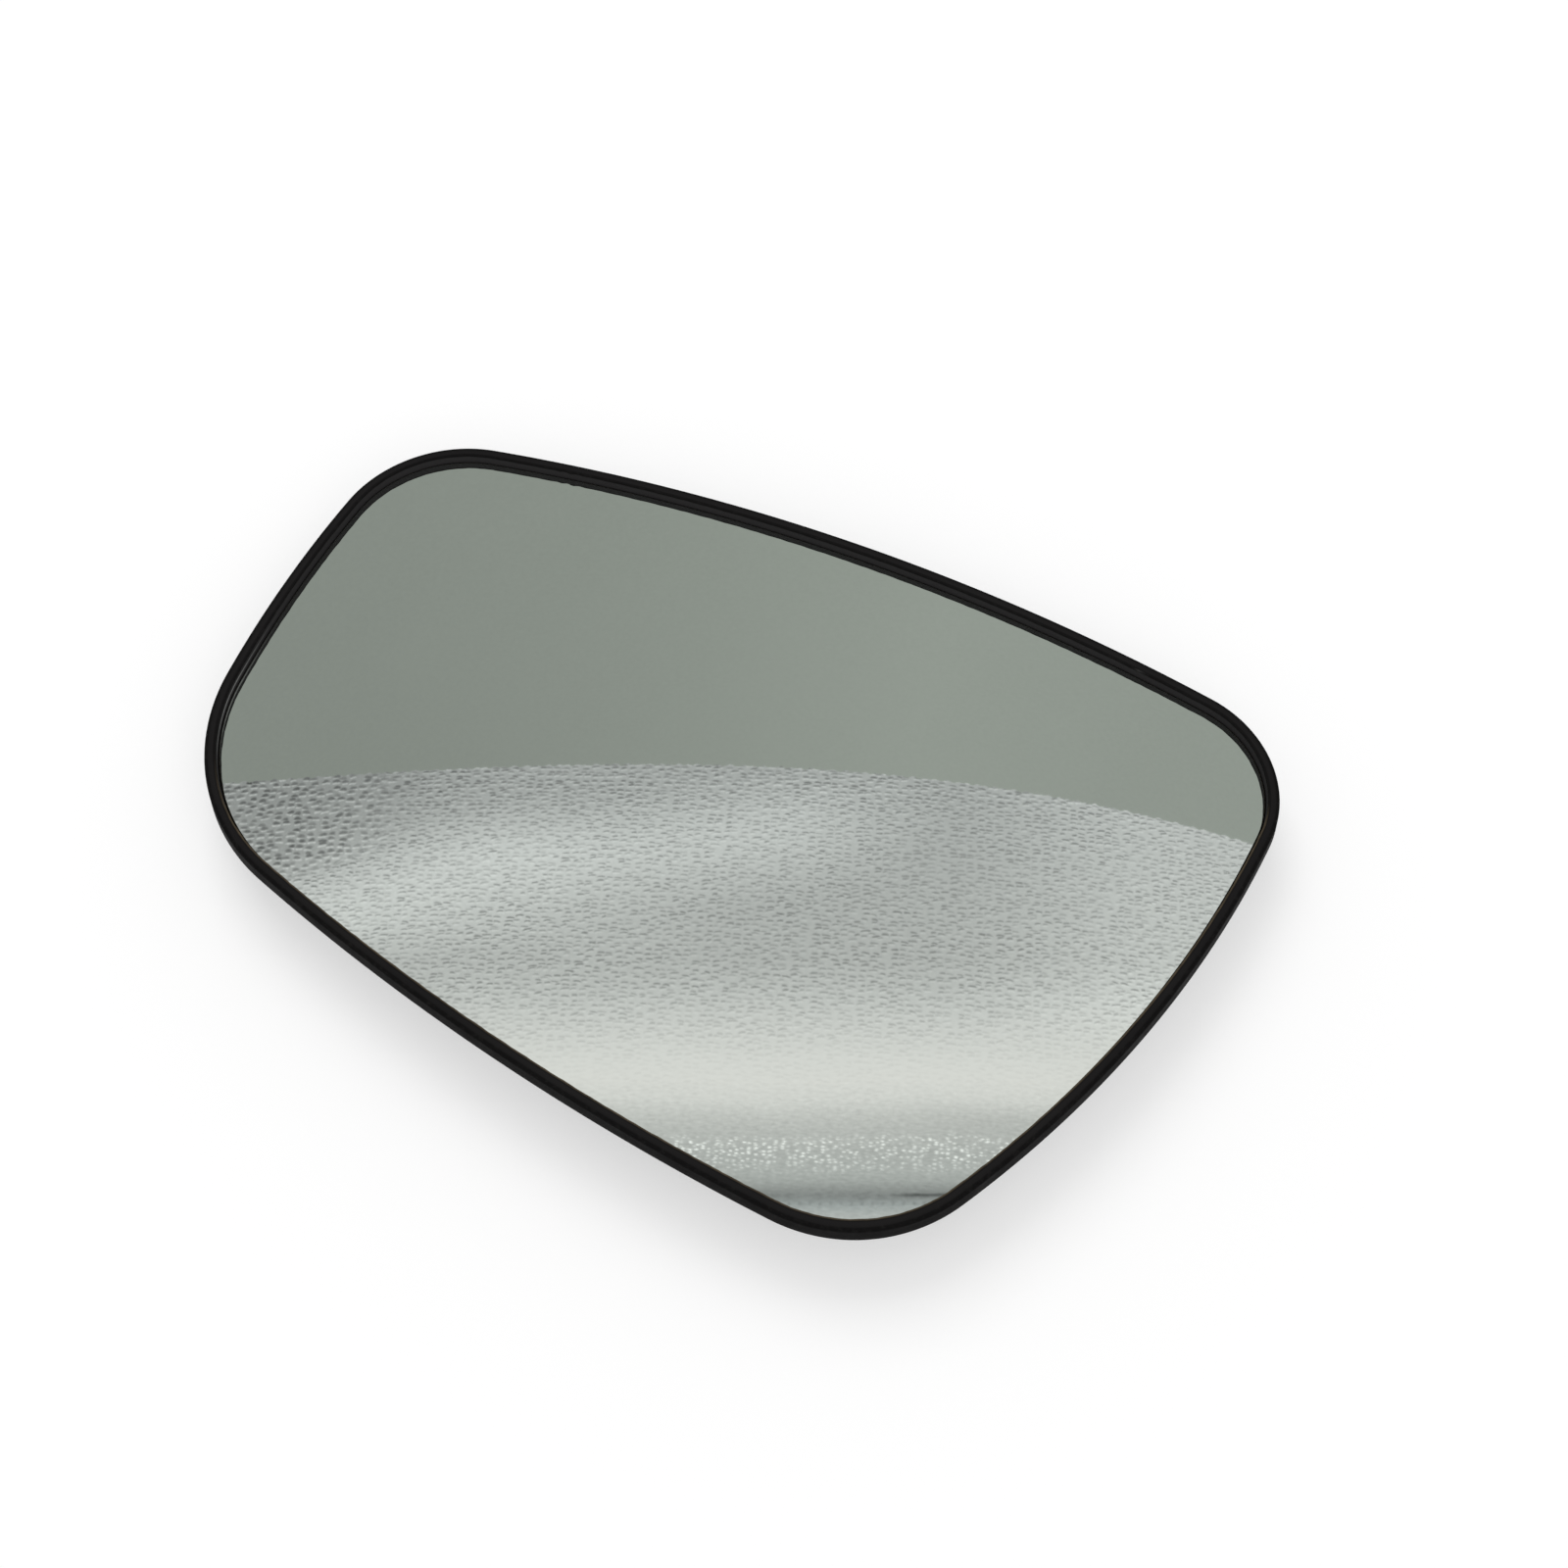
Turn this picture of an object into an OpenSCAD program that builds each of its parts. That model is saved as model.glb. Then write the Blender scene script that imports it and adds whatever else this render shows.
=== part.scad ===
// Outside mirror glass of a car: a domed mirror pane, bonded with a foam pad into a moulded
// backing plate. The plate has a raised rim round the pane, ribs behind it, and a clip ring
// that snaps onto the adjuster inside the mirror housing.
// Millimetres. The part lies face up on its clip ring. The origin is the centre of the ring's
// mouth, +Z points out of the mirror face and +X runs along the long side to the tall end.

/* [Outline] */
// Lower right corner: centre of its arc to the right of the clip axis
low_right_x = 48.3; // [44:0.1:52]
// Lower right corner: centre of its arc below the clip axis
low_right_down = 32.5; // [29:0.1:35]
// Lower right corner: radius of the rim
low_right_r = 29.6; // [25:0.1:34]
// Upper right corner: centre of its arc to the right of the clip axis
top_right_x = 69.8; // [64:0.1:74]
// Upper right corner: centre of its arc above the clip axis
top_right_up = 40.4; // [36:0.1:43]
// Upper right corner: radius of the rim
top_right_r = 22; // [18:0.1:26]
// Upper left corner: centre of its arc to the left of the clip axis
top_left_x = 66.9; // [62:0.1:70]
// Upper left corner: centre of its arc above the clip axis
top_left_up = 20.5; // [17:0.1:24]
// Upper left corner: radius of the rim
top_left_r = 25; // [21:0.1:29]
// Lower left corner: centre of its arc to the left of the clip axis
low_left_x = 50; // [46:0.1:54]
// Lower left corner: centre of its arc below the clip axis
low_left_down = 15.8; // [12:0.1:19]
// Lower left corner: radius of the rim
low_left_r = 38.5; // [34:0.1:42]
// Radius of the bulge of the lower edge
low_edge_r = 424; // [330:1:700]
// Radius of the bulge of the right edge
right_edge_r = 198; // [160:1:320]
// Radius of the bulge of the upper edge
top_edge_r = 468; // [360:1:800]
// Radius of the bulge of the left edge
left_edge_r = 248; // [180:1:400]

/* [Mirror pane] */
// Radius of the convex mirror face
face_r = 1260; // [1000:10:2000]
// Thickness of the glass
glass_t = 2; // [1.6:0.1:3]
// Ground bevel along the front edge of the glass
glass_bevel = 0.2; // [0.1:0.05:0.6]
// Distance that the edge of the glass leans in from its bevel to its back
glass_lean = 0.1; // [0.05:0.05:0.3]
// Gap between the edge of the glass and the rim
glass_gap = 0.15; // [0.1:0.05:0.6]
// Thickness of the foam pad that bonds the glass
pad_t = 0.8; // [0.5:0.1:1.5]
// Distance from the edge of the glass in to the edge of the pad
pad_inset = 1.5; // [0.5:0.1:5]

/* [Rim and panel] */
// Width of the rim's face
rim_w = 2.4; // [1.8:0.1:3.5]
// Height of the rim above the glass
lip_h = 1.9; // [0.4:0.1:2.4]
// Radius of the rim's rounded outer edge
rim_edge_r = 0.6; // [0.2:0.1:1.4]
// Height of the rim's outer wall, down to the slope that leads behind the panel
rim_wall_h = 3.4; // [2.5:0.1:4]
// Distance that the rim's outer wall leans in from its foot to its top
rim_draft = 0.25; // [0.05:0.05:0.4]
// Thickness of the domed panel behind the pad
panel_t = 2.2; // [1.6:0.1:3]

/* [Ribs] */
// Number of ribs that run out between two neighbouring latch tongues
ribs_between = 4; // [2:2:4]
// Angle from one of these ribs to the next
rib_pitch = 18; // [12:0.5:19]
// Thickness of a rib
rib_t = 1.4; // [0.8:0.1:2]
// Height of a rib behind the panel
rib_h = 2.4; // [1:0.1:4]
// Distance from the rim's outer edge in to the ends of the ribs
rib_end_inset = 6; // [4.5:0.1:10]
// Radius of the round rib outside the clip ring
round_rib_r = 47; // [42:0.5:54]

/* [Clip ring] */
// Radius of the bore that fits over the adjuster's carrier
bore_r = 30; // [26:0.5:34]
// Depth from the ring's mouth to the back of the panel, on the axis
ring_h = 10; // [8:0.5:14]
// Thickness of the ring's wall
ring_t = 2.2; // [1.6:0.1:3]
// Number of latch tongues around the ring
tongue_count = 4; // [3:1:4]
// Width of a latch tongue
tongue_w = 12; // [10:0.5:14]
// Width of the slit on each side of a tongue
slit_w = 1.2; // [0.8:0.1:2]
// Depth of the slits from the ring's mouth
slit_h = 7; // [5:0.5:7.5]
// Width of the latch window in a tongue
window_w = 6; // [4:0.5:8]
// Height of the latch window
window_h = 2.2; // [1:0.1:2.4]
// Distance from the ring's mouth to the latch window
window_z = 2.4; // [1.6:0.1:2.5]
// Depth of the lead-in slope at the ring's mouth
lead_in = 0.8; // [0.4:0.1:1.2]
// Width of the key notch that sets the way up
key_w = 5; // [3:0.5:6]
// Depth of the key notch from the ring's mouth
key_h = 4; // [2:0.5:6]
// Distance that each gusset reaches out from the ring
gusset_l = 8; // [4:0.5:9]

/* [Hidden] */

// Furthest that a straight step of the outline lies from its true arc
chord = 0.02;
// How far joined solids run into each other, and how far cutting solids run past a face
sink = 0.6;
past = 1;
// Steps in the quarter round of the rim's outer edge
round_steps = 4;
// Sides of the round parts, and of the balls that shape the domed faces
round_fn = 144;
ball_fn = 256;
// Length of the blanks of the straight ribs, before they are cut to the outline
rib_blank_l = 130;
// How far the blank of the pane rises above its domed face on the clip axis
pane_blank_rise = 10;

corner = [
    [low_right_x, -low_right_down],
    [top_right_x, top_right_up],
    [-top_left_x, top_left_up],
    [-low_left_x, -low_left_down]
];
corner_r = [low_right_r, top_right_r, top_left_r, low_left_r];
edge_r = [right_edge_r, top_edge_r, left_edge_r, low_edge_r];

// Height of each face on the clip axis, and the centre that all the domed faces share
panel_back_z = ring_h;
panel_front_z = panel_back_z + panel_t;
glass_back_z = panel_front_z + pad_t;
glass_front_z = glass_back_z + glass_t;
rim_top_z = glass_front_z + lip_h;
dome_z = glass_front_z - face_r;
glass_inset = rim_w + glass_gap;

// Outer radius of the clip ring, and the radius in its wall where ribs and gussets start
ring_r = bore_r + ring_t;
root_r = bore_r + ring_t / 2;

// Directions of the latch tongues and of the straight ribs. The key notch is at the top,
// midway between two tongues and between the two middle ribs.
notch_angle = 90;
sector = 360 / tongue_count;
tongue_angles = [for (k = [0 : tongue_count - 1]) notch_angle + sector * (k + 0.5)];
rib_angles = [
    for (k = [0 : tongue_count - 1], i = [0 : ribs_between - 1])
        notch_angle + sector * k + rib_pitch * (i - (ribs_between - 1) / 2)
];

// Centre of the edge arc that touches corner arcs i and i + 1
function edge_centre(i) =
    let (
        a = corner[i],
        b = corner[(i + 1) % 4],
        da = edge_r[i] - corner_r[i],
        db = edge_r[i] - corner_r[(i + 1) % 4],
        span = norm(b - a),
        along = (da * da - db * db + span * span) / (2 * span),
        across = sqrt(da * da - along * along),
        way = (b - a) / span
    )
    a + way * along + [-way.y, way.x] * across;

function heading(from, to) = atan2(to.y - from.y, to.x - from.x);
function turned_past(angle, start) = angle < start ? turned_past(angle + 360, start) : angle;
function step_count(r, sweep) = ceil(sweep / (2 * acos(1 - chord / r)));

// Points of an arc of radius r, drawn smaller by inset, without its last point
function arc(centre, r, inset, from, to) =
    let (sweep = turned_past(to, from) - from, count = step_count(r, sweep))
    [
        for (k = [0 : count - 1])
            let (angle = from + sweep * k / count)
            centre + (r - inset) * [cos(angle), sin(angle)]
    ];

// The outline, inset evenly: each corner arc, then the edge arc that follows it
function outline(inset = 0) = [
    for (i = [0 : 3])
        let (
            before = edge_centre((i + 3) % 4),
            after = edge_centre(i),
            next = corner[(i + 1) % 4]
        )
        each concat(
            arc(corner[i], corner_r[i], inset, heading(before, corner[i]), heading(after, corner[i])),
            arc(after, edge_r[i], inset, heading(after, corner[i]), heading(after, next))
        )
];

// Height of a domed face, given its height on the axis
function dome_at(top_z, p) = dome_z + sqrt((top_z - dome_z) ^ 2 - p.x * p.x - p.y * p.y);

// A straight-sided blank with the inset outline
module prism(inset) {
    translate([0, 0, -past])
        linear_extrude(height = rim_top_z + 2 * past)
            polygon(outline(inset));
}

// The ball under a domed face. It lies on its side, so that its poles are far from the part.
module ball(top_z) {
    translate([0, 0, dome_z])
        rotate([90, 0, 0])
            sphere(r = top_z - dome_z, $fn = ball_fn);
}

// A body lofted round the outline. Each pair of section is an inset and a depth below the
// domed face of height top_z, from the back to the front. Points on the axis close both ends.
module loft(section, top_z, back_z, front_z) {
    rings = [for (s = section) [for (p = outline(s[0])) [p.x, p.y, dome_at(top_z, p) - s[1]]]];
    count = len(rings[0]);
    last = (len(rings) - 1) * count;
    back = len(rings) * count;
    polyhedron(
        points = concat([for (ring = rings) each ring], [[0, 0, back_z], [0, 0, front_z]]),
        faces = concat(
            [
                for (level = [0 : len(rings) - 2], k = [0 : count - 1])
                    let (a = level * count, n = (k + 1) % count)
                    each [
                        [a + k, a + count + k, a + count + n],
                        [a + k, a + count + n, a + n]
                    ]
            ],
            [for (k = [0 : count - 1]) [k, (k + 1) % count, back]],
            [for (k = [0 : count - 1]) [last + (k + 1) % count, last + k, back + 1]]
        )
    );
}

// Pane of convex mirror glass with a ground front edge
module mirror_glass() {
    color("lightslategray")
        difference() {
            intersection() {
                loft(
                    [
                        [glass_inset + glass_lean, glass_t + past],
                        [glass_inset, glass_bevel],
                        [glass_inset + glass_bevel + sink, -sink]
                    ],
                    glass_front_z,
                    panel_back_z,
                    glass_front_z + pane_blank_rise
                );
                ball(glass_front_z);
            }
            ball(glass_back_z);
        }
}

// Sheet of double-sided foam between the glass and the panel
module adhesive_pad() {
    color("dimgray")
        difference() {
            intersection() {
                prism(glass_inset + pad_inset);
                ball(glass_back_z);
            }
            ball(panel_front_z);
        }
}

// Domed panel with its raised rim and the pocket for the pane
module shell() {
    depth = rim_top_z - panel_back_z + past;
    rounding = [
        for (k = [0 : round_steps])
            let (angle = 90 * k / round_steps)
            [rim_draft + rim_edge_r * (1 - cos(angle)), rim_edge_r * (1 - sin(angle))]
    ];
    difference() {
        difference() {
            loft(
                concat([[depth - rim_wall_h, depth], [0, rim_wall_h]], rounding, [[rim_w + past, 0]]),
                rim_top_z,
                0,
                rim_top_z
            );
            ball(panel_back_z);
        }
        difference() {
            prism(rim_w);
            ball(panel_front_z);
        }
    }
}

// Straight ribs that run out from the clip ring, and one round rib between them
module ribs() {
    intersection() {
        union() {
            for (angle = rib_angles)
                rotate(angle)
                    translate([root_r, -rib_t / 2, 0])
                        cube([rib_blank_l, rib_t, panel_front_z]);
            difference() {
                cylinder(h = panel_front_z, r = round_rib_r + rib_t / 2, $fn = round_fn);
                translate([0, 0, -past])
                    cylinder(h = panel_front_z + 2 * past, r = round_rib_r - rib_t / 2, $fn = round_fn);
            }
        }
        prism(rib_end_inset);
        difference() {
            ball(panel_back_z + sink);
            ball(panel_back_z - rib_h);
        }
    }
}

// Gussets that brace the clip ring on the straight ribs, from halfway up the slits
module gussets() {
    start_z = slit_h / 2;
    foot_z = panel_back_z - rib_h;
    for (angle = rib_angles)
        rotate(angle)
            rotate([90, 0, 0])
                translate([0, 0, -rib_t / 2])
                    linear_extrude(height = rib_t)
                        polygon([
                            [root_r, start_z],
                            [ring_r, start_z],
                            [ring_r + gusset_l, foot_z],
                            [ring_r + gusset_l, panel_back_z],
                            [root_r, panel_back_z]
                        ]);
}

// Ring that clips onto the adjuster: bore, lead-in, latch tongues with windows and a key notch
module clip_ring() {
    difference() {
        cylinder(h = panel_back_z + sink, r = ring_r, $fn = round_fn);
        translate([0, 0, -past])
            cylinder(h = panel_back_z + sink + 2 * past, r = bore_r, $fn = round_fn);
        translate([0, 0, -past])
            cylinder(h = lead_in + past, r1 = bore_r + lead_in + past, r2 = bore_r, $fn = round_fn);
        for (angle = tongue_angles)
            rotate(angle) {
                for (side = [-1, 1])
                    translate([bore_r - past, side * (tongue_w + slit_w) / 2 - slit_w / 2, -past])
                        cube([ring_t + 2 * past, slit_w, slit_h + past]);
                translate([bore_r - past, -window_w / 2, window_z])
                    cube([ring_t + 2 * past, window_w, window_h]);
            }
        rotate(notch_angle)
            translate([bore_r - past, -key_w / 2, -past])
                cube([ring_t + 2 * past, key_w, key_h + past]);
    }
}

// One moulding: panel, rim, ribs and clip ring
module backing_plate() {
    color("#1b1b1c")
        union() {
            shell();
            ribs();
            gussets();
            clip_ring();
        }
}

mirror_glass();
adhesive_pad();
backing_plate();
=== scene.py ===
"""Car door mirror glass, dressed for Blender 4.5.

Metres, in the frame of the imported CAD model: the part lies face up on its clip ring, +Z points
out of the mirror face and +X runs along the long side to the tall end.
"""
import math
from collections import namedtuple

import bmesh
import bpy
from mathutils import Matrix, Vector


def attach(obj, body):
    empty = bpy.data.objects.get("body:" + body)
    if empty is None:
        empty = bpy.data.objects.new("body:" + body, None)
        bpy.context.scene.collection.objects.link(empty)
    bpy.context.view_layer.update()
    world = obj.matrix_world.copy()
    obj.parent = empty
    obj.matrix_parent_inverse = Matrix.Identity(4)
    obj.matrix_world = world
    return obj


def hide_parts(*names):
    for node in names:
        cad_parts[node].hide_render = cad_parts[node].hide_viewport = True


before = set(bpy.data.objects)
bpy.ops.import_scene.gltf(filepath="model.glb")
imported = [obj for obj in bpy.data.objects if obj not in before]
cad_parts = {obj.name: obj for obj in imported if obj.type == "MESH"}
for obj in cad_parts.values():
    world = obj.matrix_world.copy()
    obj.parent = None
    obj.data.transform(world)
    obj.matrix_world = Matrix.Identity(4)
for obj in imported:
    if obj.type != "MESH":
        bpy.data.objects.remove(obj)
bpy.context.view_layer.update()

MM = 0.001
WHITE = (1, 1, 1)


# ---- Sizes of the part, in millimetres and degrees, as in the CAD source

# Outline of the rim: four corner arcs (centre, radius) and the radii of the edges between them
CORNERS = [
    ((48.3, -32.5), 29.6), ((69.8, 40.4), 22.0), ((-66.9, 20.5), 25.0), ((-50.0, -15.8), 38.5),
]
EDGE_RADII = [198.0, 468.0, 248.0, 424.0]

FACE_R = 1260.0
GLASS_T = 2.0
GLASS_BEVEL = 0.2
GLASS_LEAN = 0.1
GLASS_GAP = 0.15
PAD_T = 0.8

RIM_W = 2.4
LIP_H = 1.9
RIM_EDGE_R = 0.6
RIM_WALL_H = 3.4
RIM_DRAFT = 0.25
PANEL_T = 2.2

RIB_T = 1.4
RIB_H = 2.4
RIB_END_INSET = 6.0
RIBS_BETWEEN = 4
RIB_PITCH = 18.0
ROUND_RIB_R = 47.0
GUSSET_L = 8.0

BORE_R = 30.0
RING_H = 10.0
RING_T = 2.2
LEAD_IN = 0.8
TONGUES = 4
TONGUE_W = 12.0
SLIT_W = 1.2
SLIT_H = 7.0
WINDOW_W = 6.0
WINDOW_H = 2.2
WINDOW_Z = 2.4
KEY_W = 5.0
KEY_H = 4.0
NOTCH_ANGLE = 90.0

PANEL_BACK_Z = RING_H
PANEL_FRONT_Z = PANEL_BACK_Z + PANEL_T
GLASS_BACK_Z = PANEL_FRONT_Z + PAD_T
GLASS_FRONT_Z = GLASS_BACK_Z + GLASS_T
RIM_TOP_Z = GLASS_FRONT_Z + LIP_H
DOME_Z = GLASS_FRONT_Z - FACE_R
RING_R = BORE_R + RING_T
GLASS_INSET = RIM_W + GLASS_GAP


# ---- Fine forms that the solids leave out, in millimetres and degrees

BEVEL_MIDDLE = 0.06
# Least gap between the rim's drawn wall and that of the solid
WALL_SPARE = 0.01
LIP_R = 0.18
RIB_TIP_R = 0.3
RIB_ROOT_R = 0.5
RIB_TAPER = 0.08
GUSSET_BEVEL = 0.18
RING_BEVEL = 0.16
# How far one form reaches into the one that carries it
RIB_SINK = 0.05
RING_SINK = 0.3
SINK = 0.6

# (depth below the rim's face, strength) of the painted glint, a highlight line across the lip's
# inner wall
GLINT_BAND = [(0.85, 0.0), (1.00, 0.9), (1.12, 0.9), (1.30, 0.1)]
# Middle and spread of that line, as angles round the axis
GLINT_ANGLE = 198.0
GLINT_SPREAD = 7.0
# Direction of the side where a brown highlight is painted on the lip's arris, and how strongly
HIGHLIT_SIDE = (0.5, -0.866)
HIGHLIT_FROM = 0.10
HIGHLIT_RANGE = 0.45
ARRIS_HIGHLIGHT_STRENGTH = 0.60
# Place, depth, spread and brightness of a small nick in the lip
NICK = (56.6, 59.5)
NICK_DEPTH = 0.22
NICK_SPREAD = 0.45
NICK_SHINE = 0.35
# Middle along x, depth, reach and pitch of a rough stretch of the lip's upper side
ROUGH_X = -58.3
ROUGH_DEPTH = 0.16
ROUGH_REACH = 2.4
ROUGH_PITCH = 2.6
# Waves of the moulded lip: height, radians per mm, how far and how slowly it wanders
LIP_WAVES = [(0.022, 1.37, 0.6, 0.31), (0.012, 3.1, 2.0, 0.23)]
# A wave that comes and goes: height, radians per mm, start, radians per mm of its swell
LIP_SWELL = (0.018, 0.83, 1.9, 0.17)

# Wear that the layer "edge" holds
RIB_WEAR = 0.8
RIB_WORN_H = 0.35
GUSSET_WEAR = 0.3
MOUTH_WEAR = 0.6
RING_WEAR = 0.15

# Fineness of the meshes, in millimetres, degrees or steps
OUTLINE_STEP = 0.5
ARC_LEAST_STEPS = 6
PANE_STEPS = 24
PANEL_STEPS = 12
RIM_EDGE_STEPS = 8
LIP_STEPS = 6
RIB_CURVE_STEPS = 3
RIB_STATION = 2.0
ROUND_RIB_STEPS = 240
RING_COLUMN = 2.0
SHARP_ANGLE = 45
BEVEL_ANGLE = 40
BEVEL_STEPS = 2


# ---- Outline and dome

def edge_centre(i):
    """Centre of the long edge arc that touches corner i and the next one."""
    (a, ra), (b, rb) = CORNERS[i], CORNERS[(i + 1) % 4]
    da, db = EDGE_RADII[i] - ra, EDGE_RADII[i] - rb
    span = math.dist(a, b)
    along = (da * da - db * db + span * span) / (2 * span)
    across = math.sqrt(da * da - along * along)
    wx, wy = (b[0] - a[0]) / span, (b[1] - a[1]) / span
    return (a[0] + wx * along - wy * across, a[1] + wy * along + wx * across)


def heading(start, end):
    return math.atan2(end[1] - start[1], end[0] - start[0])


def outline_arcs():
    """(centre, radius, first angle, last angle) of each arc of the rim's outer edge."""
    arcs = []
    for i in range(4):
        before, after = edge_centre((i + 3) % 4), edge_centre(i)
        corner, radius = CORNERS[i]
        following = CORNERS[(i + 1) % 4][0]
        for centre, r, a0, a1 in (
            (corner, radius, heading(before, corner), heading(after, corner)),
            (after, EDGE_RADII[i], heading(after, corner), heading(after, following)),
        ):
            while a1 < a0:
                a1 += 2 * math.pi
            arcs.append((centre, r, a0, a1))
    return arcs


ARCS = outline_arcs()


def outline(inset):
    """Points of the outline, drawn smaller by inset, OUTLINE_STEP apart on the outer edge."""
    points = []
    for (cx, cy), r, a0, a1 in ARCS:
        count = max(ARC_LEAST_STEPS, math.ceil((a1 - a0) * r / OUTLINE_STEP))
        for k in range(count):
            a = a0 + (a1 - a0) * k / count
            points.append((cx + (r - inset) * math.cos(a), cy + (r - inset) * math.sin(a)))
    return points


def unit_inward(points, k):
    """Unit vector into the outline at its point k."""
    (ax, ay), (bx, by) = points[k - 1], points[(k + 1) % len(points)]
    length = math.dist((ax, ay), (bx, by))
    return (-(by - ay) / length, (bx - ax) / length)


def outline_reach(angle, inset):
    """Distance from the axis to the inset outline in one direction."""
    parallel, slack = 1e-12, 1e-9
    points = outline(inset)
    dx, dy = math.cos(math.radians(angle)), math.sin(math.radians(angle))
    best = 0.0
    for k in range(len(points)):
        (ax, ay), (bx, by) = points[k], points[(k + 1) % len(points)]
        ex, ey = bx - ax, by - ay
        cross = dx * ey - dy * ex
        if abs(cross) < parallel:
            continue
        reach = (ax * ey - ay * ex) / cross
        along = (ax * dy - ay * dx) / cross
        if reach > 0 and -slack <= along <= 1 + slack:
            best = max(best, reach)
    return best


def dome_at(top_z, x, y):
    """Height of a domed face whose height on the axis is top_z."""
    return DOME_Z + math.sqrt((top_z - DOME_Z) ** 2 - x * x - y * y)


# ---- Mesh helpers

def finish_mesh(bm, name, *materials, smooth=True):
    """Object made of the mesh under construction, in the scene."""
    mesh = bpy.data.meshes.new(name)
    bm.to_mesh(mesh)
    bm.free()
    for polygon in mesh.polygons:
        polygon.use_smooth = smooth
    obj = bpy.data.objects.new(name, mesh)
    bpy.context.scene.collection.objects.link(obj)
    for material in materials:
        mesh.materials.append(material)
    return obj


def add_ring(bm, points):
    return [bm.verts.new((x * MM, y * MM, z * MM)) for x, y, z in points]


def worn_vertex(bm, point, wear):
    """Vertex at a point in millimetres, with its wear in the layer "edge"."""
    vertex = bm.verts.new([c * MM for c in point])
    vertex[bm.verts.layers.float["edge"]] = wear
    return vertex


def bridge(bm, low, high, index=0):
    """Quads between two closed rings of vertices."""
    for k in range(len(low)):
        n = (k + 1) % len(low)
        bm.faces.new((low[k], low[n], high[n], high[k])).material_index = index


def dome_cap(bm, ring, top_z, steps, facing_up=True, index=0):
    """Closes a ring with ever smaller domed rings round one vertex on the axis."""
    rim_points = [(v.co.x / MM, v.co.y / MM) for v in ring]
    for s in range(1, steps):
        t = 1.0 - s / steps
        inner = add_ring(bm, [(x * t, y * t, dome_at(top_z, x * t, y * t)) for x, y in rim_points])
        bridge(bm, *((ring, inner) if facing_up else (inner, ring)), index)
        ring = inner
    middle = bm.verts.new((0, 0, top_z * MM))
    for k in range(len(ring)):
        n = (k + 1) % len(ring)
        corners = (ring[k], ring[n], middle) if facing_up else (ring[n], ring[k], middle)
        bm.faces.new(corners).material_index = index


def smooth_by_angle(obj):
    """Smooth shading that keeps edges sharper than SHARP_ANGLE."""
    bm = bmesh.new()
    bm.from_mesh(obj.data)
    for edge in bm.edges:
        if len(edge.link_faces) == 2:
            edge.smooth = edge.calc_face_angle(0.0) < math.radians(SHARP_ANGLE)
    bm.to_mesh(obj.data)
    bm.free()


def bevelled(obj, width):
    """Rounds the sharp edges of a piece, with a width in millimetres."""
    modifier = obj.modifiers.new("edges", "BEVEL")
    modifier.width = width * MM
    modifier.segments = BEVEL_STEPS
    modifier.limit_method = "ANGLE"
    modifier.angle_limit = math.radians(BEVEL_ANGLE)


# ---- Node helpers

class Value:
    """Output of a node. Sums and products of values add the math nodes that work them out."""

    def __init__(self, nodes, socket):
        self.nodes, self.socket = nodes, socket

    def __add__(self, other):
        return self.nodes.math("ADD", self, other)

    def __sub__(self, other):
        return self.nodes.math("SUBTRACT", self, other)

    def __mul__(self, other):
        return self.nodes.math("MULTIPLY", self, other)

    def __truediv__(self, other):
        return self.nodes.math("DIVIDE", self, other)

    def __pow__(self, other):
        return self.nodes.math("POWER", self, other)

    def __abs__(self):
        return self.nodes.math("ABSOLUTE", self)


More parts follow.
